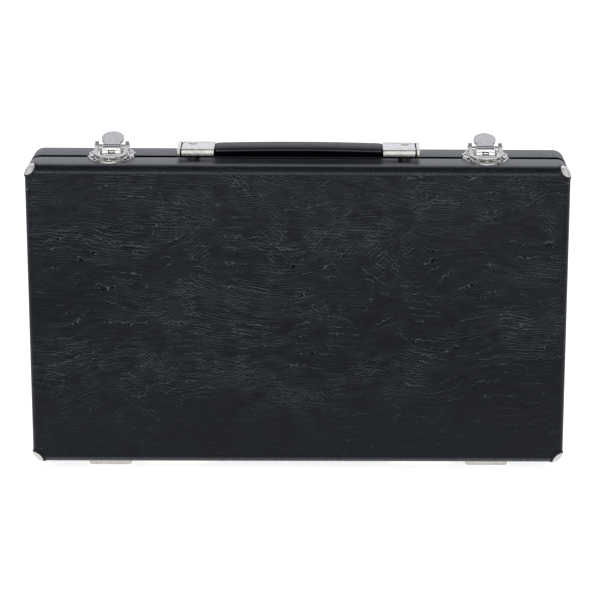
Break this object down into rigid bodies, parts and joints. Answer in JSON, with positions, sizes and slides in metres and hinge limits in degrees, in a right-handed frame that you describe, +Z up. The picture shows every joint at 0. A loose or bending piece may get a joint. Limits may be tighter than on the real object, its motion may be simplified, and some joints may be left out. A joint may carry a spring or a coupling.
{
  "type": "mouthpiece case",
  "caption": "Flat black leather-covered case for brass mouthpieces, with nickel draw latches, a lift-up handle and a hinged lid over plush recesses.",
  "frame": {"origin": "centre of the bounding box's bottom, between the feet", "axes": "+X along the width, +Y from the lid to the base, +Z up towards the handle"},
  "size_m": [0.3008, 0.0524, 0.1861],
  "materials": {
    "leather": "satin",
    "nickel": "polished",
    "steel": "satin",
    "grip": "gloss",
    "plush": "matte"
  },
  "bodies": {
    "base": {"base_shell": "leather", "insert_floor": "plush", "lower_dividers": "plush", "upper_dividers": "plush", "base_foot_left": "nickel", "base_foot_right": "nickel", "base_foot_screws": "nickel", "base_hinge_screws": "nickel", "base_latch_nails": "nickel", "hinge_left_base_leaf": "nickel", "hinge_right_base_leaf": "nickel", "hinge_left_pin": "steel", "hinge_right_pin": "steel", "latch_left_plate": "nickel", "latch_right_plate": "nickel", "latch_left_pivot_pin": "steel", "latch_right_pivot_pin": "steel", "handle_bush_left": "nickel", "handle_bush_right": "nickel"},
    "lid": {"lid_shell": "leather", "lid_lining": "plush", "lid_foot_left": "nickel", "lid_foot_right": "nickel", "lid_foot_screws": "nickel", "lid_hinge_screws": "nickel", "lid_latch_nails": "nickel", "hinge_left_lid_leaf": "nickel", "hinge_right_lid_leaf": "nickel", "latch_left_catch": "nickel", "latch_right_catch": "nickel", "corner_cap_bottom_left": "nickel", "corner_cap_bottom_right": "nickel", "corner_cap_top_left": "nickel", "corner_cap_top_right": "nickel"},
    "handle": {"handle_grip": "grip", "handle_cap_left": "nickel", "handle_cap_right": "nickel", "handle_post_left": "steel", "handle_post_right": "steel", "handle_stop_left": "steel", "handle_stop_right": "steel"},
    "lever_left": {"latch_left_lever": "nickel", "latch_left_bail_pin": "steel"},
    "bail_left": {"latch_left_bail": "nickel"},
    "lever_right": {"latch_right_lever": "nickel", "latch_right_bail_pin": "steel"},
    "bail_right": {"latch_right_bail": "nickel"}
  },
  "joints": [
    {"name": "lid", "type": "hinge", "parent": "base", "child": "lid", "pos_m": [0, 0.0002, 0.0025], "axis": [1, 0, 0], "range_deg": [0, 150]},
    {"name": "handle", "type": "slide", "parent": "base", "child": "handle", "axis": [0, 0, 1], "range_m": [0, 0.018]},
    {"name": "latch_left", "type": "hinge", "parent": "base", "child": "lever_left", "pos_m": [-0.104, 0, 0.1785], "axis": [1, 0, 0], "range_deg": [0, 105]},
    {"name": "bail_left", "type": "hinge", "parent": "lever_left", "child": "bail_left", "pos_m": [-0.104, 0.0057, 0.1802], "axis": [1, 0, 0], "range_deg": [-136.5, 0]},
    {"name": "latch_right", "type": "hinge", "parent": "base", "child": "lever_right", "pos_m": [0.104, 0, 0.1785], "axis": [1, 0, 0], "range_deg": [0, 105]},
    {"name": "bail_right", "type": "hinge", "parent": "lever_right", "child": "bail_right", "pos_m": [0.104, 0.0057, 0.1802], "axis": [1, 0, 0], "range_deg": [-136.5, 0]}
  ],
  "couplings": [
    {"joint": "bail_left", "follows": "latch_left", "ratio": -1.3},
    {"joint": "bail_right", "follows": "latch_right", "ratio": -1.3}
  ]
}
